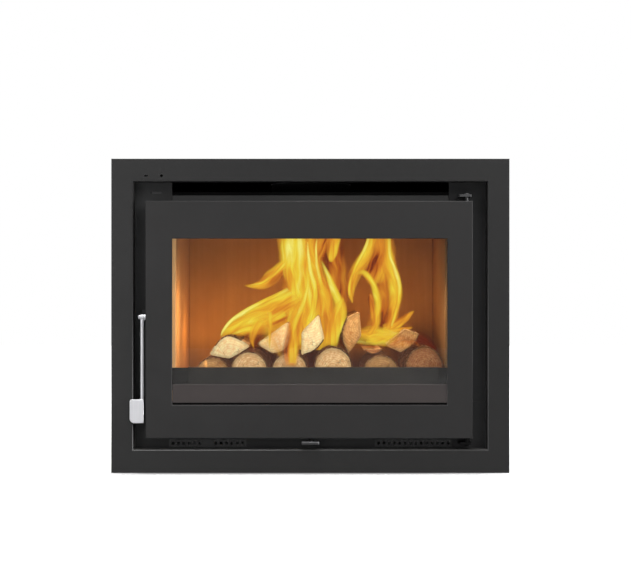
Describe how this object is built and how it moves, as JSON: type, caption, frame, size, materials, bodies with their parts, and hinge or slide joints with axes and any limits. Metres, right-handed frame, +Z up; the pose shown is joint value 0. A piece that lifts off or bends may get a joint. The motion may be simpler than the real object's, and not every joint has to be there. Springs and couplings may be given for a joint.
{
  "type": "fireplace insert",
  "caption": "Wood-burning fireplace insert: lined firebox in a convection casing behind a flat surround, with a glazed side-hung door, lever handle, air control and flue collar.",
  "frame": {"origin": "under the middle of the whole object, on the hearth that its levelling feet stand on", "axes": "+X to the right as seen from the room, +Y into the wall, +Z up"},
  "size_m": [0.7, 0.444, 0.566],
  "materials": {
    "surround_paint": "matt anthracite stove paint",
    "door_paint": "matt anthracite stove paint, heat-worn",
    "body_paint": "matt black stove paint",
    "casing_sheet": "zinc-coated sheet",
    "firebox_steel": "heat-blackened plate and castings",
    "fire_lining": "fine-grained vermiculite board, lit by the fire",
    "pane": "clear ceramic glass",
    "seal_rope": "knitted glass-fibre rope",
    "stainless": "satin stainless steel",
    "bare_steel": "plain turned steel",
    "firewood": "dry cut ends and rough bark"
  },
  "bodies": {
    "root": {"surround_frame": "surround_paint", "front_cheek_left": "body_paint", "front_cheek_right": "body_paint", "front_lintel": "body_paint", "front_sill": "body_paint", "air_grille_left": "body_paint", "air_grille_right": "body_paint", "casing_left": "casing_sheet", "casing_right": "casing_sheet", "casing_back": "casing_sheet", "casing_top": "casing_sheet", "casing_base": "casing_sheet", "levelling_foot_1": "bare_steel", "levelling_foot_2": "bare_steel", "levelling_foot_3": "bare_steel", "levelling_foot_4": "bare_steel", "firebox_left": "firebox_steel", "firebox_right": "firebox_steel", "firebox_back": "firebox_steel", "firebox_top": "firebox_steel", "firebox_floor": "firebox_steel", "hearth_brick": "fire_lining", "lining_left": "fire_lining", "lining_right": "fire_lining", "lining_back": "fire_lining", "smoke_baffle": "fire_lining", "smoke_deflector": "firebox_steel", "log_guard": "firebox_steel", "flue_collar": "firebox_steel", "air_spigot": "casing_sheet", "air_duct": "casing_sheet", "hinge_bracket_upper": "body_paint", "hinge_bracket_lower": "body_paint", "hinge_pin_upper": "bare_steel", "hinge_pin_lower": "bare_steel", "latch_keeper": "body_paint", "log_round_1": "firewood", "log_round_2": "firewood", "log_round_3": "firewood", "log_round_4": "firewood", "log_round_5": "firewood", "log_round_6": "firewood", "log_split_1": "firewood", "log_split_2": "firewood", "log_split_3": "firewood", "log_split_4": "firewood", "log_split_5": "firewood", "log_split_6": "firewood"},
    "door": {"door_frame": "door_paint", "door_glass": "pane", "glass_rail": "door_paint", "glass_retainer": "body_paint", "door_rope_seal": "seal_rope", "handle_pivot_pin": "bare_steel"},
    "handle": {"handle_lever": "stainless", "latch_hook": "bare_steel"},
    "air_control": {"air_control_knob": "stainless", "air_control_rod": "bare_steel", "air_valve_plate": "casing_sheet"}
  },
  "joints": [
    {"name": "door_hinge", "type": "hinge", "parent": "root", "child": "door", "pos_m": [0.2757, -0.205, 0.2728], "axis": [0, 0, 1], "range_deg": [0, 105]},
    {"name": "handle_pivot", "type": "hinge", "parent": "door", "child": "handle", "pos_m": [-0.2961, -0.212, 0.2772], "axis": [-1, 0, 0], "range_deg": [0, 28]},
    {"name": "air_control_slide", "type": "slide", "parent": "root", "child": "air_control", "axis": [0, -1, 0], "range_m": [0, 0.04]}
  ]
}
